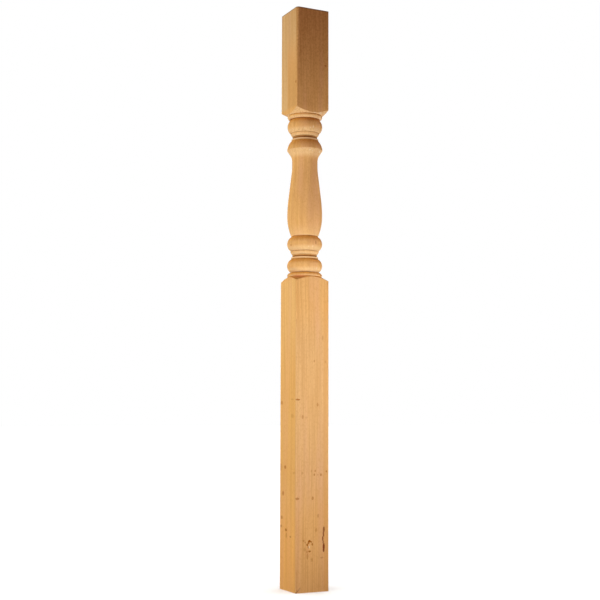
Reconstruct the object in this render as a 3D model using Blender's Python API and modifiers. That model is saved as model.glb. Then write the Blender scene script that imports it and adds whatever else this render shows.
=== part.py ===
"""A turned wooden newel post: one square blank, turned between its two square blocks.

Metres, +Z up. The origin is the middle of the foot, where the post stands.
The turning is worked out from its members, which follow one another down from the upper shoulder.
Depths are cut in from the turned radius, which is the radius of the beads and of the belly.
"""

import math

import bpy

MM = 0.001

# The blank
SECTION = 88.9 * MM
TOP_BLOCK_LENGTH = 254.0 * MM
TURNING_LENGTH = 431.8 * MM
LOWER_BLOCK_LENGTH = 749.3 * MM
EASED_ARRIS = 2.0 * MM

# How far the beads and the belly are turned down under the flats of the blank
CLEAN_UP = 0.9 * MM

# Shoulders: the cones that run in from the corners of a block, a fine V cut at their end, and the collar
SHOULDER_HEIGHT = 10.5 * MM
SHOULDER_QUIRK_HEIGHT = 4.0 * MM
SHOULDER_QUIRK_DEPTH = 1.5 * MM
COLLAR_HEIGHT = 8.0 * MM
COLLAR_DEPTH = 8.4 * MM

# Beads: their height, and how deep their foot and top are cut
NECK_BEAD_HEIGHT = 35.0 * MM
NECK_BEAD_DEPTH = 8.4 * MM
MIDDLE_BEAD_HEIGHT = 37.0 * MM
FOOT_BEAD_HEIGHT = 34.8 * MM
BEAD_DEPTH = 11.0 * MM

# The band under a bead, the quirk cut below it, and the fillet under the quirk
BAND_HEIGHT = 4.6 * MM
BAND_DEPTH = 8.0 * MM
BAND_TAPER = 1.8 * MM
QUIRK_SLOPE_HEIGHT = 3.9 * MM
QUIRK_FLOOR_HEIGHT = 6.0 * MM
QUIRK_DEPTH = 13.0 * MM
FILLET_HEIGHT = 4.2 * MM
FILLET_DEPTH = 9.8 * MM

# The vase: a swelling cap with a sharp lip, a flare and a cove below it, and the neck
CAP_HEIGHT = 24.0 * MM
CAP_SWELL = 2.3 * MM
LIP_PROUD = 0.7 * MM
FLARE_ANGLE = math.radians(34.0)
COVE_RADIUS = 30.0 * MM
NECK_DEPTH = 11.7 * MM
NECK_LENGTH = 14.0 * MM

# The vase's body: a long taper out to the belly, eased at both ends, and a quick turn in to the foot
NECK_EASE = 15.0 * MM
BELLY_EASE = 44.0 * MM
BELLY_ABOVE_FOOT = 49.0 * MM
VASE_FOOT_DEPTH = 10.0 * MM
VASE_QUIRK_HEIGHT = 1.4 * MM
VASE_QUIRK_DEPTH = 1.6 * MM

# How finely the curves are cut
ROUND_STEPS = 40
BEAD_STEPS = 10
COLLAR_STEPS = 4
CAP_STEPS = 6
COVE_STEPS = 4
EASE_STEPS = 5
TURN_IN_STEPS = 7
ARRIS_STEPS = 2

WOOD_COLOUR = (0.72, 0.42, 0.18, 1.0)
WOOD_ROUGHNESS = 0.6

CORNER_RADIUS = SECTION / math.sqrt(2)
TURNED_RADIUS = SECTION / 2 - CLEAN_UP
POST_HEIGHT = LOWER_BLOCK_LENGTH + TURNING_LENGTH + TOP_BLOCK_LENGTH
UPPER_SHOULDER_TOP = LOWER_BLOCK_LENGTH + TURNING_LENGTH


def add_shoulder_quirk(outline):
    """The fine V cut between a shoulder and its collar."""
    start = outline[-1][1]
    outline.append((TURNED_RADIUS - SHOULDER_QUIRK_DEPTH, start - SHOULDER_QUIRK_HEIGHT / 2))
    outline.append((TURNED_RADIUS, start - SHOULDER_QUIRK_HEIGHT))


def add_collar(outline, opens_down):
    """A quarter round between a shoulder and a bead, full at the shoulder."""
    start = outline[-1][1]
    for step in range(COLLAR_STEPS + 1):
        turn = math.pi / 2 * step / COLLAR_STEPS
        if opens_down:
            depth = COLLAR_DEPTH * (1 - math.cos(turn))
            down = COLLAR_HEIGHT * math.sin(turn)
        else:
            depth = COLLAR_DEPTH * (1 - math.sin(turn))
            down = COLLAR_HEIGHT * (1 - math.cos(turn))
        outline.append((TURNED_RADIUS - depth, start - down))


def add_bead(outline, height, depth):
    """A round bead: one arc that leaves and meets the depth it is cut to."""
    half = height / 2
    middle = outline[-1][1] - half
    arc_radius = (half**2 + depth**2) / (2 * depth)
    sweep = math.asin(half / arc_radius)
    for step in range(BEAD_STEPS + 1):
        angle = sweep - 2 * sweep * step / BEAD_STEPS
        radius = TURNED_RADIUS - arc_radius * (1 - math.cos(angle))
        outline.append((radius, middle + arc_radius * math.sin(angle)))


def add_band_quirk_and_fillet(outline):
    """The plain band under a bead, the deep quirk below it and the fillet that ends it."""
    start = outline[-1][1]
    quirk_top = start - BAND_HEIGHT
    quirk_floor = quirk_top - QUIRK_SLOPE_HEIGHT
    quirk_foot = quirk_floor - QUIRK_FLOOR_HEIGHT
    outline.append((TURNED_RADIUS - BAND_DEPTH, start))
    outline.append((TURNED_RADIUS - BAND_DEPTH - BAND_TAPER, quirk_top))
    outline.append((TURNED_RADIUS - QUIRK_DEPTH, quirk_floor))
    outline.append((TURNED_RADIUS - QUIRK_DEPTH, quirk_foot))
    outline.append((TURNED_RADIUS - FILLET_DEPTH, quirk_foot))
    outline.append((TURNED_RADIUS - FILLET_DEPTH, quirk_foot - FILLET_HEIGHT))


def add_cap(outline):
    """The rounded cap of the vase, from the fillet out to its sharp lip."""
    start_radius, start = outline[-1]
    out = TURNED_RADIUS + LIP_PROUD - start_radius
    chord = math.hypot(out, CAP_HEIGHT)
    for step in range(1, CAP_STEPS + 1):
        share = step / CAP_STEPS
        swell = 4 * CAP_SWELL * share * (1 - share)
        radius = start_radius + out * share + swell * CAP_HEIGHT / chord
        outline.append((radius, start - CAP_HEIGHT * share + swell * out / chord))


def add_flare_and_neck(outline):
    """Below the lip: a straight flare inwards, and a cove that runs out into the neck."""
    lip_radius, lip = outline[-1]
    neck_radius = TURNED_RADIUS - NECK_DEPTH
    cove_top_radius = neck_radius + COVE_RADIUS * (1 - math.cos(FLARE_ANGLE))
    cove_top = lip - (lip_radius - cove_top_radius) / math.tan(FLARE_ANGLE)
    neck_top = cove_top - COVE_RADIUS * math.sin(FLARE_ANGLE)
    for step in range(COVE_STEPS + 1):
        angle = FLARE_ANGLE * (1 - step / COVE_STEPS)
        radius = neck_radius + COVE_RADIUS * (1 - math.cos(angle))
        outline.append((radius, neck_top + COVE_RADIUS * math.sin(angle)))
    outline.append((neck_radius, neck_top - NECK_LENGTH))


def add_body(outline, foot):
    """The vase's body, which takes what is left of the turning down to its foot."""
    neck_radius, start = outline[-1]
    belly = foot + BELLY_ABOVE_FOOT
    length = start - belly
    room = min(1.0, length / (NECK_EASE + BELLY_EASE))
    neck_ease = NECK_EASE * room
    belly_ease = BELLY_EASE * room
    taper = NECK_DEPTH / (length - neck_ease / 2 - belly_ease / 2)
    for step in range(1, EASE_STEPS + 1):
        down = neck_ease * step / EASE_STEPS
        outline.append((neck_radius + taper * down**2 / (2 * neck_ease), start - down))
    for step in range(EASE_STEPS + 1):
        left = belly_ease * (1 - step / EASE_STEPS)
        outline.append((TURNED_RADIUS - taper * left**2 / (2 * belly_ease), belly + left))
    for step in range(1, TURN_IN_STEPS + 1):
        share = step / TURN_IN_STEPS
        outline.append((TURNED_RADIUS - VASE_FOOT_DEPTH * share**2, belly - BELLY_ABOVE_FOOT * share))


def turned_outline():
    """The outer side of the turning, from above the post's top down to below its foot."""
    reach = SECTION
    shoulder_slope = SHOULDER_HEIGHT / (CORNER_RADIUS - TURNED_RADIUS)
    shoulder_reach = (reach - CORNER_RADIUS) * shoulder_slope
    lower_collar_foot = LOWER_BLOCK_LENGTH + SHOULDER_HEIGHT + SHOULDER_QUIRK_HEIGHT
    foot_bead_top = lower_collar_foot + COLLAR_HEIGHT + FOOT_BEAD_HEIGHT
    quirk_height = QUIRK_SLOPE_HEIGHT + QUIRK_FLOOR_HEIGHT
    middle_bead_foot = foot_bead_top + FILLET_HEIGHT + quirk_height + BAND_HEIGHT
    middle_bead_top = middle_bead_foot + MIDDLE_BEAD_HEIGHT
    vase_foot = middle_bead_top + VASE_QUIRK_HEIGHT
    vase_quirk_radius = TURNED_RADIUS - VASE_FOOT_DEPTH - VASE_QUIRK_DEPTH

    outline = [(0.0, POST_HEIGHT + reach)]
    outline.append((reach, POST_HEIGHT + reach))
    outline.append((reach, UPPER_SHOULDER_TOP + shoulder_reach))
    outline.append((TURNED_RADIUS, UPPER_SHOULDER_TOP - SHOULDER_HEIGHT))
    add_shoulder_quirk(outline)
    add_collar(outline, opens_down=True)
    add_bead(outline, NECK_BEAD_HEIGHT, NECK_BEAD_DEPTH)
    add_band_quirk_and_fillet(outline)
    add_cap(outline)
    add_flare_and_neck(outline)
    add_body(outline, vase_foot)
    outline.append((vase_quirk_radius, vase_foot - VASE_QUIRK_HEIGHT / 2))
    outline.append((TURNED_RADIUS - BEAD_DEPTH, middle_bead_top))
    add_bead(outline, MIDDLE_BEAD_HEIGHT, BEAD_DEPTH)
    add_band_quirk_and_fillet(outline)
    add_bead(outline, FOOT_BEAD_HEIGHT, BEAD_DEPTH)
    add_collar(outline, opens_down=False)
    add_shoulder_quirk(outline)
    outline.append((reach, LOWER_BLOCK_LENGTH - shoulder_reach))
    outline.append((reach, -reach))
    outline.append((0.0, -reach))
    return without_repeats(outline)


def without_repeats(outline):
    """Drops a point that lies on the one before it, where two members meet."""
    kept = [outline[0]]
    for point in outline[1:]:
        if math.dist(point, kept[-1]) > 0.01 * MM:
            kept.append(point)
    return kept


def make_collection(name):
    collection = bpy.data.collections.new(name)
    bpy.context.scene.collection.children.link(collection)
    return collection


def make_wood():
    wood = bpy.data.materials.new("bare_wood")
    wood.use_nodes = True
    shader = wood.node_tree.nodes["Principled BSDF"]
    shader.inputs["Base Color"].default_value = WOOD_COLOUR
    shader.inputs["Roughness"].default_value = WOOD_ROUGHNESS
    shader.inputs["Metallic"].default_value = 0.0
    return wood


def make_turning(collection):
    """What the lathe leaves: a turned body, and wider than the blank wherever the blocks stay square."""
    points = [(radius, 0.0, height) for radius, height in turned_outline()]
    edges = [(index, index + 1) for index in range(len(points) - 1)]
    mesh = bpy.data.meshes.new("turning")
    mesh.from_pydata(points, edges, [])
    turning = bpy.data.objects.new("turning", mesh)
    collection.objects.link(turning)
    screw = turning.modifiers.new("turn", "SCREW")
    screw.axis = "Z"
    screw.steps = ROUND_STEPS
    screw.render_steps = ROUND_STEPS
    screw.use_merge_vertices = True
    screw.merge_threshold = 0.00001
    turning.hide_render = True
    turning.display_type = "WIRE"
    return turning


def make_blank(collection):
    """The square blank, with its four long arrises eased."""
    bpy.ops.mesh.primitive_cube_add(size=1.0, location=(0.0, 0.0, POST_HEIGHT / 2))
    blank = bpy.context.object
    blank.name = "newel_post"
    blank.data.name = "newel_post"
    blank.scale = (SECTION, SECTION, POST_HEIGHT)
    bpy.ops.object.transform_apply(location=False, rotation=False, scale=True)
    for owner in list(blank.users_collection):
        owner.objects.unlink(blank)
    collection.objects.link(blank)

    weights = blank.data.attributes.new("bevel_weight_edge", "FLOAT", "EDGE")
    for edge in blank.data.edges:
        low, high = sorted(blank.data.vertices[index].co.z for index in edge.vertices)
        weights.data[edge.index].value = 1.0 if high > low else 0.0
    ease = blank.modifiers.new("eased_arrises", "BEVEL")
    ease.limit_method = "WEIGHT"
    ease.width = EASED_ARRIS
    ease.segments = ARRIS_STEPS
    return blank


def make_newel_post(collection, cutters):
    """One piece of wood: what the blank and the turning have in common."""
    turning = make_turning(cutters)
    post = make_blank(collection)
    turned = post.modifiers.new("turned", "BOOLEAN")
    turned.operation = "INTERSECT"
    turned.solver = "EXACT"
    turned.object = turning
    post.data.materials.append(make_wood())
    post.data.shade_smooth()
    post.data.set_sharp_from_angle(angle=math.radians(25.0))
    return post


def main():
    for leftover in list(bpy.data.objects):
        bpy.data.objects.remove(leftover, do_unlink=True)
    parts = make_collection("newel_post")
    cutters = make_collection("cutters")
    make_newel_post(parts, cutters)


main()
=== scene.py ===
import math
import random

import bpy
from mathutils import Matrix, Quaternion, Vector


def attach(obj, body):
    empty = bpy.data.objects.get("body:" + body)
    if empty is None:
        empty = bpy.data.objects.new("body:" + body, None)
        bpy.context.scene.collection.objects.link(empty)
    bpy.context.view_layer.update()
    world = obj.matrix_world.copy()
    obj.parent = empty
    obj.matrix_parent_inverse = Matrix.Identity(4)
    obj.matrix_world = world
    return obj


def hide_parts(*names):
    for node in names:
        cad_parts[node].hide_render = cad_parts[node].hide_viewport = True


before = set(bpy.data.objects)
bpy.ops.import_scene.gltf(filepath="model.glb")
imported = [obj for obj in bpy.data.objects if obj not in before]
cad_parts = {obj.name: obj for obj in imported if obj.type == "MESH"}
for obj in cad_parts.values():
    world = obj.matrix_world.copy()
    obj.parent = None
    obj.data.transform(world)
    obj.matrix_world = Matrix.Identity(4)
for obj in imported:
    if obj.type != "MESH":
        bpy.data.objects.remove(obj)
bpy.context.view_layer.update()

mm = 0.001

# ---- camera, first, because the marks in the wood are placed through it

camera = {
    "place": Vector((-1.2852, -2.5553, 0.4270)),
    "towards": Vector((0.4437, 0.8909, 0.0968)),
    "roll": math.radians(0.1395),
    "lens": 69.52,
    "film": 36.0,
    "picture": 600,  # pixels each way
}


def cameraAxes():
    forward = camera["towards"].normalized()
    right = forward.cross(Vector((0, 0, 1))).normalized()
    up = right.cross(forward)
    turn = camera["roll"]
    return right * math.cos(turn) + up * math.sin(turn), up * math.cos(turn) - right * math.sin(turn), forward


def makeCamera():
    right, up, forward = cameraAxes()
    data = bpy.data.cameras.new("camera")
    data.lens = camera["lens"]
    data.sensor_width = camera["film"]
    data.clip_end = 200
    eye = bpy.data.objects.new("camera", data)
    bpy.context.scene.collection.objects.link(eye)
    turned = Matrix((right, up, -forward)).transposed().to_4x4()
    eye.matrix_world = Matrix.Translation(camera["place"]) @ turned
    bpy.context.scene.camera = eye


makeCamera()
print("camera set")

# ---- small helpers


def deselectAll():
    if bpy.context.object and bpy.context.object.mode != "OBJECT":
        bpy.ops.object.mode_set(mode="OBJECT")
    bpy.ops.object.select_all(action="DESELECT")


def pickEdges(obj, test):
    # in edit mode: selects the edges whose two ends pass the test
    bpy.ops.mesh.select_all(action="DESELECT")
    bpy.ops.mesh.select_mode(type="EDGE")
    bpy.ops.object.mode_set(mode="OBJECT")
    points = obj.data.vertices
    for edge in obj.data.edges:
        edge.select = test(*[points[i].co for i in edge.vertices])
    bpy.ops.object.mode_set(mode="EDIT")


def settle(obj):
    # modifiers go into the mesh, and the object to the origin
    deselectAll()
    obj.select_set(True)
    bpy.context.view_layer.objects.active = obj
    for modifier in list(obj.modifiers):
        bpy.ops.object.modifier_apply(modifier=modifier.name)
    bpy.ops.object.transform_apply(location=True, rotation=True, scale=True)


def carve(obj, tool, operation):
    cut = obj.modifiers.new("carve", "BOOLEAN")
    cut.operation = operation
    cut.solver = "EXACT"
    cut.object = tool
    settle(obj)
    bpy.data.objects.remove(tool, do_unlink=True)


def seenAt(obj, across, down):
    # the point and the facing of the surface under a pixel of the picture
    right, up, forward = cameraAxes()
    middle = camera["picture"] / 2
    reach = camera["lens"] / camera["film"] * camera["picture"]
    ray = forward * reach + right * (across - middle) + up * (middle - down)
    hit, place, facing, _ = obj.ray_cast(camera["place"], ray.normalized())
    return (place, facing) if hit else (None, None)


# ---- the post

post = {
    "section": 88.9 * mm,
    "lowerBlock": 749.3 * mm,
    "turning": 431.8 * mm,
    "topBlock": 254.0 * mm,
    "easedArris": 2.0 * mm,
    "arrisSteps": 5,
    "wornArris": 8.0 * mm,  # the near arris is rounded more towards its top end
    "easedEnd": 0.4 * mm,
    "sides": 144,  # around the turning
}
post["height"] = post["lowerBlock"] + post["turning"] + post["topBlock"]
post["cornerRadius"] = post["section"] / math.sqrt(2)

members = {
    "cleanUp": 0.9 * mm,  # beads and belly stay this far under the flats
    "shoulder": 10.5 * mm,
    "shoulderQuirk": (4.0 * mm, 1.5 * mm),  # height, depth
    "collar": (8.0 * mm, 8.4 * mm),
    "neckBead": (35.0 * mm, 8.4 * mm),
    "middleBead": (37.0 * mm, 11.0 * mm),
    "footBead": (34.8 * mm, 11.0 * mm),
    "band": (4.6 * mm, 8.0 * mm, 1.8 * mm),  # height, depth, taper
    "quirk": (3.9 * mm, 6.0 * mm, 13.0 * mm),  # slope, floor, depth
    "fillet": (4.2 * mm, 9.8 * mm),
    "cap": (24.0 * mm, 2.3 * mm),  # height, swell
    "lipProud": 0.7 * mm,
    "flare": math.radians(34.0),
    "cove": 30.0 * mm,
    "neck": (14.0 * mm, 11.7 * mm),  # length, depth
    "ease": (15.0 * mm, 44.0 * mm),  # at the neck, at the belly
    "bellyAboveFoot": 49.0 * mm,
    "vaseFoot": 10.0 * mm,
    "vaseQuirk": (1.4 * mm, 1.6 * mm),
    "softened": 0.35 * mm,  # how far sanding rounds each crisp member
}
members["radius"] = post["section"] / 2 - members["cleanUp"]


def shoulderQuirkPoints(start):
    height, depth = members["shoulderQuirk"]
    return [(members["radius"] - depth, start - height / 2), (members["radius"], start - height)]


def collarPoints(start, opensDown, steps=8):
    height, depth = members["collar"]
    points = []
    for step in range(steps + 1):
        turn = math.pi / 2 * step / steps
        fall, drop = 1 - math.cos(turn), math.sin(turn)
        if not opensDown:
            fall, drop = 1 - math.sin(turn), 1 - math.cos(turn)
        points.append((members["radius"] - depth * fall, start - height * drop))
    return points


def beadPoints(start, size, steps=22):
    height, depth = size
    arc = ((height / 2) ** 2 + depth**2) / (2 * depth)
    sweep = math.asin(height / 2 / arc)
    points = []
    for step in range(steps + 1):
        angle = sweep - 2 * sweep * step / steps
        fall = arc * (1 - math.cos(angle))
        points.append((members["radius"] - fall, start - height / 2 + arc * math.sin(angle)))
    return points


def quirkPoints(start):
    radius = members["radius"]
    bandHeight, bandDepth, taper = members["band"]
    slope, floor, depth = members["quirk"]
    filletHeight, filletDepth = members["fillet"]
    low = start - bandHeight
    foot = low - slope - floor
    return [
        (radius - bandDepth, start),
        (radius - bandDepth - taper, low),
        (radius - depth, low - slope),
        (radius - depth, foot),
        (radius - filletDepth, foot),
        (radius - filletDepth, foot - filletHeight),
    ]


def vasePoints(start, foot, steps=14):
    # cap, lip, flare, cove, neck, tapered body, and the turn in to the foot
    radius = members["radius"]
    capHeight, swell = members["cap"]
    lip = radius + members["lipProud"]
    first = radius - members["fillet"][1]
    chord = math.hypot(lip - first, capHeight)
    points = []
    for step in range(1, steps + 1):
        share = step / steps
        bulge = 4 * swell * share * (1 - share)
        out = first + (lip - first) * share + bulge * capHeight / chord
        points.append((out, start - capHeight * share + bulge * (lip - first) / chord))
    flare, cove = members["flare"], members["cove"]
    neckLength, neckDepth = members["neck"]
    neckRadius = radius - neckDepth
    coveRadius = neckRadius + cove * (1 - math.cos(flare))
    coveTop = points[-1][1] - (lip - coveRadius) / math.tan(flare)
    neckTop = coveTop - cove * math.sin(flare)
    for step in range(9):
        angle = flare * (1 - step / 8)
        points.append((neckRadius + cove * (1 - math.cos(angle)), neckTop + cove * math.sin(angle)))
    top = neckTop - neckLength
    belly = foot + members["bellyAboveFoot"]
    neckEase, bellyEase = members["ease"]
    taper = neckDepth / (top - belly - neckEase / 2 - bellyEase / 2)
    for step in range(9):
        down = neckEase * step / 8
        points.append((neckRadius + taper * down**2 / (2 * neckEase), top - down))
    for step in range(steps + 1):
        left = bellyEase * (1 - step / steps)
        points.append((radius - taper * left**2 / (2 * bellyEase), belly + left))
    for step in range(1, steps + 1):
        share = step / steps
        points.append((radius - members["vaseFoot"] * share**2, belly - members["bellyAboveFoot"] * share))
    return points


def softenCorners(points, amount):
    # each crisp corner gives way to three points of a small round
    soft = [points[0]]
    for before, here, after in zip(points, points[1:], points[2:]):
        a, b, c = Vector(before), Vector(here), Vector(after)
        into, out = b - a, c - b
        if into.angle(out) < math.radians(20):
            soft.append(here)
            continue
        cut = min(amount, into.length * 0.4, out.length * 0.4)
        start, end = b - into.normalized() * cut, b + out.normalized() * cut
        soft += [tuple(start), tuple((start + 2 * b + end) / 4), tuple(end)]
    return soft + [points[-1]]


def turnedPoints():
    # the turned members from the foot of the top shoulder to the head of the lower one
    upper = post["lowerBlock"] + post["turning"]
    quirk = members["band"][0] + members["quirk"][0] + members["quirk"][1] + members["fillet"][0]
    lowerShoulder = post["lowerBlock"] + members["shoulder"]
    lowerCollar = lowerShoulder + members["shoulderQuirk"][0] + members["collar"][0]
    middleFoot = lowerCollar + members["footBead"][0] + quirk
    middleTop = middleFoot + members["middleBead"][0]
    grooveHeight, grooveDepth = members["vaseQuirk"]
    vaseFoot = middleTop + grooveHeight
    points = [(members["radius"], upper - members["shoulder"])]
    points += shoulderQuirkPoints(points[-1][1])
    points += collarPoints(points[-1][1], True)
    points += beadPoints(points[-1][1], members["neckBead"])
    points += quirkPoints(points[-1][1])
    points += vasePoints(points[-1][1], vaseFoot)
    points.append((members["radius"] - members["vaseFoot"] - grooveDepth, vaseFoot - grooveHeight / 2))
    points += beadPoints(middleTop, members["middleBead"])
    points += quirkPoints(middleFoot)
    points += beadPoints(points[-1][1], members["footBead"])
    points += collarPoints(points[-1][1], False)
    points += shoulderQuirkPoints(points[-1][1])
    kept = [points[0]]
    for point in points[1:]:
        if math.dist(point, kept[-1]) > 0.02 * mm:
            kept.append(point)
    return kept


def creasesOf(points):
    # heights and radii of the sharp hollows between the members
    creases = []
    for (ra, za), (rb, zb), (rc, zc) in zip(points, points[1:], points[2:]):
        into, out = Vector((rb - ra, zb - za)), Vector((rc - rb, zc - zb))
        hollow = into.x * out.y - into.y * out.x > 0
        if hollow and into.angle(out) > math.radians(30):
            creases.append((rb, zb))
    return creases


def filletHeights():
    # heights of the middles of the two fillets
    filletHeight, filletDepth = members["fillet"]
    feet = [z for radius, z in turnedPoints() if abs(radius - members["radius"] + filletDepth) < 0.01 * mm]
    return [(above + below) / 2 for above, below in zip(feet, feet[1:]) if above - below < 1.5 * filletHeight]


def makeTurning():
    # a disc above the post, drawn down ring by ring
    section, height, low = post["section"], post["height"], post["lowerBlock"]
    slope = members["shoulder"] / (post["cornerRadius"] - members["radius"])
    runOut = (section - post["cornerRadius"]) * slope
    outline = [(section, height + section), (section, low + post["turning"] + runOut)]
    outline += softenCorners(turnedPoints(), members["softened"])
    outline += [(section, low - runOut), (section, -section)]
    deselectAll()
    bpy.ops.mesh.primitive_circle_add(
        vertices=post["sides"], radius=outline[0][0], fill_type="NGON", location=(0, 0, outline[0][1])
    )
    turning = bpy.context.object
    bpy.ops.object.mode_set(mode="EDIT")
    bpy.ops.mesh.select_all(action="SELECT")
    for (radius, z), (nextRadius, nextZ) in zip(outline, outline[1:]):
        bpy.ops.mesh.extrude_region_move(TRANSFORM_OT_translate={"value": (0, 0, nextZ - z)})
        k = nextRadius / radius
        bpy.ops.transform.resize(value=(k, k, 1), center_override=(0, 0, nextZ))
    bpy.ops.mesh.select_all(action="SELECT")
    bpy.ops.mesh.normals_make_consistent(inside=False)
    settle(turning)
    return turning


def makeBlank():
    section, height = post["section"], post["height"]
    deselectAll()
    bpy.ops.mesh.primitive_cube_add(size=1, location=(0, 0, height / 2), scale=(section, section, height))
    blank = bpy.context.object
    blank.name = "turnedPost"
    settle(blank)
    bpy.ops.object.mode_set(mode="EDIT")
    bpy.ops.mesh.select_all(action="SELECT")
    shoulderTop = post["lowerBlock"] + post["turning"]
    bpy.ops.mesh.bisect(plane_co=(0, 0, shoulderTop), plane_no=(0, 0, 1))
    pickEdges(blank, lambda a, b: abs(a.z - b.z) > mm)
    bpy.ops.mesh.bevel(offset=post["easedArris"], segments=post["arrisSteps"], affect="EDGES")
    corner = (-section / 2, -section / 2, height)
    reach = post["easedArris"] * 1.1

    def atCorner(p):
        return p.z > height - mm and p.x < corner[0] + reach and p.y < corner[1] + reach

    # the near arris is opened out at its top end, and tapers to the shoulder
    pickEdges(blank, lambda a, b: atCorner(a) and atCorner(b))
    k = post["wornArris"] / post["easedArris"]
    bpy.ops.transform.resize(value=(k, k, 1), center_override=corner)
    pickEdges(blank, lambda a, b: abs(a.z - b.z) < mm and (a.z < mm or a.z > height - mm))
    bpy.ops.mesh.bevel(offset=post["easedEnd"], segments=2, affect="EDGES")
    bpy.ops.object.mode_set(mode="OBJECT")
    return blank


def makePost():
    blank = makeBlank()
    carve(blank, makeTurning(), "INTERSECT")
    return blank


turnedPost = makePost()
print("post turned:", len(turnedPost.data.polygons), "faces")

# small breaks: pixel across and down, half width, depth and half height in mm, lean in degrees
breaks = {
    "barkUpper": (323.7, 531.2, 1.2, 0.6, 10.0, 1),
    "barkJoin": (322.8, 539.4, 0.7, 0.5, 9.0, 2),
    "barkLower": (323.7, 547.2, 1.7, 0.7, 9.5, -1),
    "endSplit": (298.0, 590.9, 0.7, 0.7, 9.0, 42),
    "arrisDent": (297.6, 399.7, 4.4, 0.8, 1.7, 8),
    "leftDash": (295.8, 81.4, 0.8, 0.6, 3.4, -4),
    "collarNickA": (314.6, 117.4, 1.3, 0.5, 0.6, 0),
    "collarNickB": (319.0, 116.6, 1.0, 0.5, 0.7, 0),
    "beadNick": (315.9, 242.2, 0.7, 0.4, 3.6, 6),
    "pinHole": (320.8, 474.8, 0.8, 0.5, 1.3, 0),
    "pinHoleLeft": (285.2, 467.1, 0.9, 0.5, 2.4, -5),
}


def breakSurface(obj):
    found = {}
    for name, (across, down, wide, deep, tall, lean) in breaks.items():
        place, facing = seenAt(obj, across, down)
        if place is not None:
            found[name] = (place, facing, wide, deep, tall, lean)
    for name, (place, facing, wide, deep, tall, lean) in found.items():
        turn = facing.to_track_quat("Y", "Z") @ Quaternion((0, 1, 0), math.radians(lean))
        deselectAll()
        size = (wide * mm, deep * mm, tall * mm)
        bpy.ops.mesh.primitive_uv_sphere_add(
            segments=20, ring_count=14, location=place, rotation=turn.to_euler(), scale=size
        )
        tool = bpy.context.object
        settle(tool)
        carve(obj, tool, "DIFFERENCE")
    print("breaks cut:", ", ".join(found))


# marks: pixel across and down, width and height in pixels too, strength
marks = {
    "fleckHigh": (322.7, 338.0, 1.8, 5.9, 0.34),
    "fleckA": (314.2, 361.0, 1.9, 3.2, 0.40),
    "fleckB": (325.2, 361.8, 1.8, 4.0, 0.30),
    "dash": (298.0, 399.6, 5.6, 2.3, 0.75),
    "dashTail": (292.3, 399.4, 3.2, 1.9, 0.25),
    "dashLeft": (281.8, 402.8, 2.7, 5.3, 0.45),
    "softA": (317.7, 404.6, 2.3, 4.8, 0.42),
    "veeA": (302.7, 417.0, 2.4, 5.3, 0.42),
    "veeB": (306.4, 417.4, 3.2, 1.9, 0.20),
    "softLeft": (292.3, 415.8, 3.2, 5.3, 0.25),
    "oval": (285.2, 467.1, 2.6, 4.6, 0.62),
    "ovalLeft": (281.2, 467.0, 3.2, 9.6, 0.25),
    "faintA": (293.9, 473.0, 2.7, 3.2, 0.22),
    "faintB": (302.3, 473.3, 2.7, 4.0, 0.30),
    "rowA": (311.5, 471.0, 1.9, 3.7, 0.24),
    "rowB": (315.1, 470.9, 2.1, 3.5, 0.42),
    "rowC": (314.4, 474.7, 2.0, 2.9, 0.60),
    "rowD": (317.8, 474.7, 1.7, 2.3, 0.36),
    "rowE": (320.8, 474.8, 2.2, 3.5, 0.56),
    "rowF": (326.4, 471.2, 2.0, 2.7, 0.60),
    "redBlotch": (283.1, 493.4, 2.4, 5.6, 0.50),
    "brownA": (297.3, 498.8, 4.8, 3.2, 0.60),
    "brownB": (312.7, 498.4, 2.7, 4.5, 0.55),
    "edgeA": (281.8, 517.3, 2.4, 4.4, 0.55),
    "edgeB": (281.2, 525.8, 2.2, 3.6, 0.50),
    "spotC": (318.1, 515.8, 2.9, 5.1, 0.36),
    "pinA": (286.0, 529.9, 2.4, 3.4, 0.80),
    "pinTail": (286.3, 535.2, 2.1, 6.9, 0.34),
    "pinB": (290.3, 536.8, 2.1, 2.7, 0.50),
    "spotD": (316.1, 530.0, 2.7, 5.1, 0.36),
    "hookTop": (309.4, 541.3, 3.7, 3.1, 1.00),
    "hookTopRight": (311.3, 541.9, 2.1, 2.3, 0.80),
    "hookDown": (308.4, 543.0, 2.3, 3.0, 0.80),
    "hookLeft": (307.3, 544.9, 2.3, 3.2, 0.90),
    "hookUnder": (308.2, 547.2, 1.5, 3.5, 0.85),
    "hookRight": (312.2, 544.3, 1.9, 3.2, 0.75),
    "hookArm": (303.6, 540.9, 2.9, 2.3, 0.45),
    "hookArmLow": (305.4, 542.6, 2.1, 2.3, 0.35),
    "hookFoot": (309.6, 551.3, 3.2, 2.4, 0.85),
    "hookFootLeft": (306.9, 551.9, 1.9, 3.7, 0.40),
    "hookSide": (304.6, 549.8, 2.7, 4.3, 0.30),
    "hookBelow": (307.4, 556.5, 2.7, 6.9, 0.34),
    "smile": (321.8, 557.6, 4.3, 2.1, 0.36),
    "faintC": (311.8, 560.0, 2.7, 4.8, 0.30),
    "redDot": (325.4, 65.8, 2.6, 2.4, 0.50),
    "darkDash": (295.8, 81.4, 1.3, 3.6, 0.55),
    "beadMark": (315.9, 242.4, 1.8, 4.8, 0.44),
    "beadMarkLeft": (291.0, 245.0, 2.1, 2.7, 0.34),
}
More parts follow.
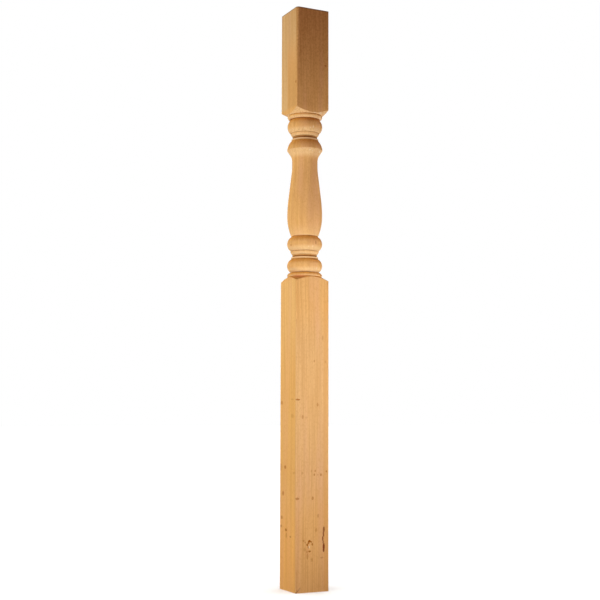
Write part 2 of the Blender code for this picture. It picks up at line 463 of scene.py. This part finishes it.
barkMarks = {
    "upper": (323.8, 529.6, 2.3, 8.0, 0.80),
    "upperFoot": (323.4, 534.0, 2.0, 6.9, 0.85),
    "join": (322.7, 538.6, 1.8, 5.9, 0.90),
    "joinFoot": (323.2, 542.0, 1.5, 4.8, 0.70),
    "lower": (323.7, 546.4, 2.7, 8.0, 1.00),
    "lowerFoot": (323.6, 550.0, 2.1, 4.8, 0.95),
    "splitHead": (299.6, 588.8, 1.9, 2.2, 0.25),
    "split": (298.4, 590.2, 1.8, 2.3, 0.35),
    "splitFoot": (297.2, 591.6, 1.9, 2.3, 0.45),
    "splitEnd": (296.0, 593.0, 2.3, 2.1, 0.60),
}
# pale specks: torn grain on the turning, partly painted highlight, and a pale spot in the knot swirl
paleMarks = {
    "collarA": (312.8, 116.6, 1.7, 1.5, 0.70),
    "collarB": (315.2, 117.2, 1.4, 1.4, 0.60),
    "collarC": (320.0, 118.4, 2.1, 2.1, 0.80),
    "coneA": (320.4, 113.1, 3.2, 1.4, 0.80),
    "coneB": (315.0, 112.2, 2.7, 1.3, 0.50),
    "coneC": (300.5, 109.0, 1.6, 2.7, 0.40),
    "beadA": (313.3, 126.6, 1.4, 4.3, 0.70),
    "beadB": (310.6, 127.4, 1.2, 3.2, 0.50),
    "beadC": (304.8, 127.8, 1.3, 3.2, 0.40),
    "lipA": (310.0, 149.6, 1.6, 2.7, 0.80),
    "lipB": (312.6, 150.6, 1.3, 3.2, 0.60),
    "lipC": (319.6, 151.8, 2.1, 3.2, 0.80),
    "middleA": (312.8, 246.0, 1.3, 4.8, 0.60),
    "middleB": (308.6, 246.4, 1.2, 4.3, 0.40),
    "footA": (316.8, 268.0, 1.4, 3.7, 0.50),
    "swirl": (309.3, 547.0, 2.4, 3.8, 0.50),
}
flushMarks = {
    # painted shade on the lower cone's near corner
    "coneCornerShade": (299.0, 276.3, 10.0, 6.0, 0.75),
    "blotch": (283.2, 492.0, 2.6, 6.0, 0.35),
    "headDot": (325.4, 65.8, 3.4, 3.0, 0.40),
    "swirlLow": (307.6, 553.0, 5.0, 12.0, 0.25),
}
plainMarks = {"count": 14, "width": (4 * mm, 9 * mm), "height": (6 * mm, 16 * mm), "strength": (0.2, 0.55)}


def spotsSeen(spots):
    # a spot on a face that is seen aslant is as much wider there
    found = []
    forward = cameraAxes()[2]
    for across, down, wide, tall, strength in spots.values():
        place, facing = seenAt(turnedPost, across, down)
        if place is None:
            continue
        sight = place - camera["place"]
        pixel = sight.dot(forward) * camera["film"] / camera["lens"] / camera["picture"]
        aslant = max(0.4, abs(sight.normalized().dot(facing)))
        found.append((place, wide * pixel / aslant, tall * pixel, strength))
    return found


def spotsBehind():
    # a few quiet flecks on the two faces that the picture doesn't show
    pick = random.Random(11)
    half = post["section"] / 2
    found = []
    for number in range(plainMarks["count"]):
        along = pick.uniform(-0.8, 0.8) * half
        height = pick.uniform(0.05, 0.95) * post["lowerBlock"]
        if number % 4 == 3:
            height = post["height"] - pick.uniform(0.1, 0.9) * post["topBlock"]
        place = (half, along, height) if number % 2 else (along, half, height)
        sizes = [pick.uniform(*plainMarks[key]) for key in ("width", "height", "strength")]
        found.append((place, *sizes))
    return found


knotSpots = spotsSeen(marks) + spotsBehind()
barkSpots = spotsSeen(barkMarks)
paleSpots = spotsSeen(paleMarks)
flushSpots = spotsSeen(flushMarks)
breakSurface(turnedPost)
deselectAll()
turnedPost.select_set(True)
bpy.context.view_layer.objects.active = turnedPost
bpy.ops.object.shade_smooth_by_angle(angle=math.radians(28))

# ---- shader expressions


class Value:
    # a shader socket that sums can be written on
    def __init__(self, graph, socket):
        self.graph = graph
        self.socket = socket

    def maths(self, operation, first, second=0.0):
        return self.graph.node("ShaderNodeMath", {"operation": operation}, {0: first, 1: second})

    def __add__(self, other):
        return self.maths("ADD", self, other)

    def __radd__(self, other):
        return self.maths("ADD", other, self)

    def __sub__(self, other):
        return self.maths("SUBTRACT", self, other)

    def __rsub__(self, other):
        return self.maths("SUBTRACT", other, self)

    def __mul__(self, other):
        return self.maths("MULTIPLY", self, other)

    def __rmul__(self, other):
        return self.maths("MULTIPLY", other, self)

    def __truediv__(self, other):
        return self.maths("DIVIDE", self, other)

    def __pow__(self, other):
        return self.maths("POWER", self, other)

    def __abs__(self):
        return self.maths("ABSOLUTE", self)

    def most(self, other):
        return self.maths("MAXIMUM", self, other)

    def above(self, low, high):
        # 0 below low, 1 above high, and smooth between
        sockets = {"Value": self, "From Min": low, "From Max": high}
        return self.graph.node("ShaderNodeMapRange", {"interpolation_type": "SMOOTHSTEP"}, sockets)


class Graph:
    # the nodes of one material, or of the sky
    def __init__(self, tree):
        self.tree = tree

    def node(self, kind, settings=None, sockets=None, out=0):
        node = self.tree.nodes.new(kind)
        for key, value in (settings or {}).items():
            setattr(node, key, value)
        for key, value in (sockets or {}).items():
            self.feed(node.inputs[key], value)
        return Value(self, node.outputs[out])

    def feed(self, slot, value):
        if isinstance(value, Value):
            self.tree.links.new(value.socket, slot)
        else:
            slot.default_value = value

    def vector(self, operation, first, second, out=0):
        return self.node("ShaderNodeVectorMath", {"operation": operation}, {0: first, 1: second}, out)

    def noise(self, point, scale, detail=2.0, rough=0.5, shift=(0, 0, 0), out=0):
        # scale is given for each of the three directions
        place = self.node("ShaderNodeMapping", sockets={"Vector": point, "Scale": scale, "Location": shift})
        sockets = {"Vector": place, "Scale": 1.0, "Detail": detail, "Roughness": rough}
        return self.node("ShaderNodeTexNoise", sockets=sockets, out=out)

    def blend(self, mask, under, over, kind="MIX"):
        settings = {"data_type": "RGBA", "blend_type": kind, "clamp_factor": True}
        return self.node("ShaderNodeMix", settings, {0: mask, 6: under, 7: over}, 2)

    def tint(self, mask, under, over):
        return self.blend(mask, under, over, "MULTIPLY")

    def near(self, point, middle, size):
        # 1 at the middle of an egg shape, falling to 0 at its skin
        away = self.vector("DIVIDE", self.vector("SUBTRACT", point, middle), size)
        return 1 - self.vector("LENGTH", away, (0, 0, 0), "Value")


def newMaterial(name):
    material = bpy.data.materials.new(name)
    material.use_nodes = True
    graph = Graph(material.node_tree)
    return material, graph, material.node_tree.nodes["Principled BSDF"]


# ---- the wood

wood = {
    "pale": (0.900, 0.556, 0.206, 1),
    "warm": (0.735, 0.400, 0.120, 1),
    "pink": (0.840, 0.490, 0.225, 1),
    "orange": (0.810, 0.430, 0.120, 1),
    # painted light on the undersides of the members and on the fillets
    "paintedLight": (0.980, 0.740, 0.380, 1),
    # reddish blotches, and painted shade on the lower cone's near corner
    "tornGrainAndGlint": (1.000, 0.820, 0.520, 1),
    # pale specks: torn grain, partly painted highlight
    "flushAndShade": (0.680, 0.260, 0.095, 1),
    "endGrain": (0.600, 0.310, 0.090, 1),
    # painted shade in the hollows between the members
    "creaseShade": (0.230, 0.065, 0.004, 1),
    "knot": (0.430, 0.125, 0.008, 1),
    "bark": (0.260, 0.070, 0.018, 1),
    "golden": (1.030, 1.045, 0.885, 1),  # painted light: tint towards the left face
    "sunny": (1.030, 1.080, 1.100, 1),  # painted light: tint of the left face, next to the turning
    "dusk": (0.970, 0.820, 0.520, 1),  # painted shade: tint of the slopes that look up
    "ember": (1.110, 1.040, 0.930, 1),  # painted light: tint of the foot of the left face
    "rosy": (0.950, 0.990, 1.130, 1),  # painted light: tint of the middle of the lower block, on the broad side
    "hazel": (0.890, 0.890, 0.830, 1),  # painted shade: tint beside the near arris, above the shoulder
    "umber": (0.870, 0.830, 0.750, 1),  # painted shade: tint of the broad side of the top block
    "khaki": (0.940, 1.070, 1.270, 1),  # painted light: tint of the outer strip and the head of the top block
    # painted shade along the top end
    "paintedRimShade": (0.340, 0.240, 0.150, 1),
    "heart": (-0.105, 0.060),  # where the tree's middle lies, beside the post
    "heartWander": 0.022,
    "ringScale": 230.0,  # about a ring in 4 mm
    "fibreScale": (420, 420, 7),  # noise steps in a metre, across, across and along the post
    "cloudScale": (20, 20, 4.5),
    "blushScale": (34, 34, 2.6),
    "poreScale": (1500, 1500, 70),
    "mottleScale": (300, 300, 190),
    "endGrainScale": (330, 330, 60),
    "raggedScale": (330, 330, 160),
    "gougeScale": (2, 2, 900),
    "raggedness": (2.4 * mm, 2.4 * mm, 3.6 * mm),
    "emberFade": (0.06, 0.28),  # heights between which each tint comes in or fades
    "rosyRise": (0.15, 0.30),
    "rosyFade": (0.58, 0.70),
    "goldenFade": (0.45, 0.65),
    "sunnyRise": (0.50, 0.68),
    "rimBand": (3.4 * mm, 1.2 * mm),  # below the top end, from faint to full
    "seam": 0.0303,  # past this the right-hand edge of the broad face is more orange
    "roughness": 0.62,
    "gloss": 0.05,
    "creaseWidth": 0.8 * mm,
    "filletGlow": 2.4 * mm,
    "relief": (0.25, 0.5 * mm),  # strength, depth
}


def spotMask(graph, point, spots, firm):
    mask = None
    for place, wide, tall, strength in spots:
        size = (wide / 2, wide / 2, tall / 2)
        spot = graph.near(point, tuple(place), size).above(0.0, firm) * strength
        mask = spot if mask is None else mask.most(spot)
    return mask


def makeWood():
    material, graph, shader = newMaterial("bareWood")
    point = graph.node("ShaderNodeTexCoord", out="Object")
    normal = graph.node("ShaderNodeTexCoord", out="Normal")
    x, y, z = [graph.node("ShaderNodeSeparateXYZ", sockets={0: point}, out=axis) for axis in range(3)]
    facing = graph.node("ShaderNodeSeparateXYZ", sockets={0: normal}, out=2)
    level = abs(facing)
    fromAxis = (x * x + y * y) ** 0.5
    low, high = post["lowerBlock"], post["lowerBlock"] + post["turning"]
    between = z.above(low, low + 5 * mm) * (1 - z.above(high - 5 * mm, high))  # 1 along the turning

    # growth rings, round a heart that wavers along the post
    lean = graph.noise(point, (5, 5, 1.3)) - 0.5
    sway = graph.noise(point, (5, 5, 1.3), shift=(7, 3, 5)) - 0.5
    away = x - wood["heart"][0] + lean * wood["heartWander"]
    aside = y - wood["heart"][1] + sway * wood["heartWander"]
    ring = (away * away + aside * aside) ** 0.5
    ringPoint = graph.node("ShaderNodeCombineXYZ", sockets={0: ring, 2: z})
    rings = graph.noise(ringPoint, (wood["ringScale"], 1, 1.6), 3.0, 0.6)
    fineRings = graph.noise(ringPoint, (wood["ringScale"] * 3.4, 1, 5), 2.0, 0.6, (3, 1, 9))

    # fibre, clouds and pores
    fibre = graph.noise(point, wood["fibreScale"], 3.0, 0.6)
    cloud = graph.noise(point, wood["cloudScale"], 2.0, 0.5, (2, 8, 4))
    blush = graph.noise(point, wood["blushScale"], 2.0, 0.5, (5, 1, 3))
    pore = graph.noise(point, wood["poreScale"], 1.0, 0.5)
    mottle = graph.noise(point, wood["mottleScale"], 2.0, 0.6, (1, 6, 2))

    tone = 0.42 * rings + 0.32 * fineRings + 0.26 * fibre
    colour = graph.blend(tone.above(0.40, 0.64), wood["pale"], wood["warm"])
    colour = graph.blend(blush.above(0.48, 0.75) * 0.7, colour, wood["pink"])
    colour = graph.blend(cloud.above(0.5, 0.8) * 0.35, colour, wood["orange"])
    seamSide = x.above(wood["seam"] - 0.4 * mm, wood["seam"] + 0.4 * mm)
    seamLow = 1 - z.above(low * 0.9, low)
    colour = graph.blend(seamSide * seamLow * 0.5, colour, wood["orange"])
    colour = graph.blend(pore.above(0.62, 0.78) * 0.22, colour, wood["warm"])
    colour = graph.blend(mottle.above(0.45, 0.70) * 0.5, colour, wood["warm"])

    # painted light and shade: tints by side and by height, standing in for how the lamps fall on the post
    leftSide = 1 - (x - y).above(-8 * mm, 0.0)  # 1 on the left face and the one behind it
    upper = z.above(high - 2 * mm, high + 8 * mm)  # 1 along the top block
    golden = leftSide * (1 - upper) * (1 - 0.55 * z.above(*wood["goldenFade"]))
    colour = graph.tint(golden, colour, wood["golden"])
    sunny = leftSide * z.above(*wood["sunnyRise"]) * (1 - z.above(low, low + 5 * mm))
    colour = graph.tint(sunny, colour, wood["sunny"])
    colour = graph.tint(leftSide * (1 - z.above(*wood["emberFade"])), colour, wood["ember"])
    rosy = (1 - leftSide) * z.above(*wood["rosyRise"]) * (1 - z.above(*wood["rosyFade"]))
    colour = graph.tint(rosy, colour, wood["rosy"])
    patchy = 0.6 + 0.8 * mottle.above(0.40, 0.60)
    broad = (1 - leftSide) * upper * (0.42 + 0.30 * z.above(high + 60 * mm, high + 150 * mm)) * patchy
    colour = graph.tint(broad, colour, wood["umber"])
    inner = leftSide * upper * (1 - y.above(0.0, 14 * mm)) * (1 - z.above(high + 60 * mm, high + 150 * mm))
    colour = graph.tint(inner, colour, wood["hazel"])
    strip = leftSide * upper * (y.above(2 * mm, 14 * mm)).most(z.above(high + 90 * mm, high + 210 * mm))
    colour = graph.tint(strip, colour, wood["khaki"])

    # painted light: the undersides of the members are painted paler where light from below falls; all their
    # slopes show streaks of end grain
    under = 1 - facing.above(-0.60, -0.12)
    colour = graph.blend(under * 0.6, colour, wood["paintedLight"])
    grain = graph.noise(point, wood["endGrainScale"], 2.0, 0.6)
    ends = level.above(0.15, 0.7) * grain.above(0.42, 0.72) * (0.35 + 0.65 * z.above(low + 0.25, low + 0.35))
    ends = ends.most(level.above(0.75, 1.0) * (0.3 + 0.7 * grain.above(0.35, 0.7)))
    colour = graph.blend(ends * 0.5, colour, wood["endGrain"])
    # painted shade: the slopes that look up along the turning are tinted darker and warmer
    colour = graph.tint(facing.above(0.1, 0.7) * between, colour, wood["dusk"])
    # painted shade: a dark line just below the top end
    faint, full = wood["rimBand"]
    rim = z.above(post["height"] - faint, post["height"] - full) * (1 - level.above(0.5, 0.9))
    colour = graph.blend(rim * 0.85, colour, wood["paintedRimShade"])

    # painted shade in the hollows between the members
    creaseShade = None
    for radius, height in creasesOf(turnedPoints()):
        close = 1 - abs(z - height) / wood["creaseWidth"]
        creaseShade = close if creaseShade is None else creaseShade.most(close)
    inside = 1 - fromAxis.above(members["radius"] - 1.5 * mm, members["radius"])
    deepest = members["radius"] - members["quirk"][2]
    floor = 1 - fromAxis.above(deepest + 0.2 * mm, deepest + 1.0 * mm)
    shade = 0.15 + 0.50 * z.above(low + 0.2, low + 0.3)  # painted shade, stronger on the upper quirk, which is seen more from below
    creaseShade = (creaseShade.above(0.0, 1.0) * inside).most(floor * between * shade)
    # painted shade on the quirk floor just above each fillet
    for height in filletHeights():
        creaseShade = creaseShade.most(floor * (1 - abs(z - height - 4.2 * mm) / (3.0 * mm)).above(0.0, 0.8))
    colour = graph.blend(creaseShade * 0.85, colour, wood["creaseShade"])
    # painted light: the fillets are painted paler
    for height in filletHeights():
        lit = (1 - abs(z - height) / wood["filletGlow"]).above(0.0, 0.4) * (1 - floor)
        colour = graph.blend(lit * 0.6, colour, wood["paintedLight"])

    # knots, flecks, the bark pocket, reddish blotches with a painted shade on the lower cone's near corner,
    # and pale specks of torn grain with painted highlight
    stray = graph.noise(point, wood["raggedScale"], 2.0, 0.6, out="Color")
    stray = graph.vector("SUBTRACT", stray, (0.5, 0.5, 0.5))
    ragged = graph.vector("ADD", graph.vector("MULTIPLY", stray, wood["raggedness"]), point)
    knots = spotMask(graph, ragged, knotSpots, 0.45)
    bark = spotMask(graph, ragged, barkSpots, 0.4)
    tornGrainAndGlint = spotMask(graph, ragged, paleSpots, 0.6)
    flushAndShade = spotMask(graph, ragged, flushSpots, 0.9)
    colour = graph.blend(flushAndShade, colour, wood["flushAndShade"])
    colour = graph.blend(knots, colour, wood["knot"])
    colour = graph.blend(bark, colour, wood["bark"])
    colour = graph.blend(tornGrainAndGlint, colour, wood["tornGrainAndGlint"])
    graph.feed(shader.inputs["Base Color"], colour)

    rough = wood["roughness"] + 0.12 * (fibre - 0.5) + 0.15 * ends
    graph.feed(shader.inputs["Roughness"], rough)
    shader.inputs["Specular IOR Level"].default_value = wood["gloss"]
    # raised fibre on the flats, faint rings of the gouge on the turning
    gouge = graph.noise(point, wood["gougeScale"], 1.0, 0.5)
    height = 0.5 * fibre + 0.3 * pore + 0.25 * gouge * between - 0.5 * knots
    strength, depth = wood["relief"]
    bump = graph.node("ShaderNodeBump", sockets={"Strength": strength, "Distance": depth, "Height": height})
    graph.feed(shader.inputs["Normal"], bump)
    return material


turnedPost.data.materials.clear()
turnedPost.data.materials.append(makeWood())
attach(turnedPost, "root")
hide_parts("newel_post")
print("wood finished")

# ---- studio

studio = {
    "floorSize": 60.0,
    "floorColour": (0.80, 0.86, 0.86, 1),
    "overhead": 4.6,
    "overheadSpread": math.radians(70),
    "fill": (0.107, 0.008, 0.002, 1),  # warm light that comes back from the room
}

# soft lamps on the post: bearing from the camera's side in degrees, distance, height, size, watts
lamps = {
    "frontRight": (40, 0.8, 0.60, 0.3, 4.37),
    "lowRight": (20, 0.6, 0.05, 0.3, 1.35),
    "sideLow": (90, 1.6, 0.02, 0.5, 7.1),
    "leftLow": (-65, 1.6, 0.02, 0.5, 11.6),
    "leftMiddle": (-65, 1.6, 0.50, 0.5, 3.6),
    "leftHigh": (-65, 1.6, 1.00, 0.5, 7.8),
    "leftTop": (-65, 1.6, 2.60, 0.5, 7.0),
    "backLeft": (-120, 1.6, 1.00, 0.5, 4.7),
    "back": (165, 1.8, 0.90, 0.8, 12.0),
    "over": (180, 0.6, 3.00, 0.8, 9.0),
}


def makeFloor():
    deselectAll()
    bpy.ops.mesh.primitive_plane_add(size=studio["floorSize"], location=(0, 0, 0))
    floor = bpy.context.object
    floor.name = "floor"
    material, _, shader = newMaterial("paleFloor")
    shader.inputs["Base Color"].default_value = studio["floorColour"]
    shader.inputs["Roughness"].default_value = 0.8
    floor.data.materials.append(material)
    floor.visible_diffuse = False
    return floor


def makeSky():
    # white where the camera looks at it, only a warm fill as light
    world = bpy.data.worlds.new("studio")
    bpy.context.scene.world = world
    world.use_nodes = True
    graph = Graph(world.node_tree)
    seen = graph.node("ShaderNodeLightPath", out="Is Camera Ray")
    colour = graph.blend(seen, studio["fill"], (1, 1, 1, 1))
    graph.feed(world.node_tree.nodes["Background"].inputs["Color"], colour)


def lightsOnly(name, obj):
    group = bpy.data.collections.new(name)
    group.objects.link(obj)
    return group


def makeLamp(name, bearing, distance, height, size, watts, receivers):
    data = bpy.data.lights.new(name, "AREA")
    data.shape = "DISK"
    data.size = size
    data.energy = watts
    lamp = bpy.data.objects.new(name, data)
    bpy.context.scene.collection.objects.link(lamp)
    towards = math.atan2(camera["place"].y, camera["place"].x) + math.radians(bearing)
    place = Vector((distance * math.cos(towards), distance * math.sin(towards), height))
    aim = Vector((0, 0, post["lowerBlock"])) - place
    lamp.location = place
    lamp.rotation_euler = aim.to_track_quat("-Z", "Y").to_euler()
    lamp.light_linking.receiver_collection = receivers
    lamp.visible_camera = False


def makeOverhead(receivers):
    data = bpy.data.lights.new("overhead", "SUN")
    data.energy = studio["overhead"]
    data.angle = studio["overheadSpread"]
    lamp = bpy.data.objects.new("overhead", data)
    bpy.context.scene.collection.objects.link(lamp)
    lamp.location = (0, 0, 3)
    lamp.light_linking.receiver_collection = receivers


floor = makeFloor()
makeSky()
onPost = lightsOnly("onPost", turnedPost)
for name, (bearing, distance, height, size, watts) in lamps.items():
    makeLamp(name, bearing, distance, height, size, watts, onPost)
makeOverhead(lightsOnly("onFloor", floor))
bpy.context.scene.view_settings.view_transform = "Standard"
print("studio lit")
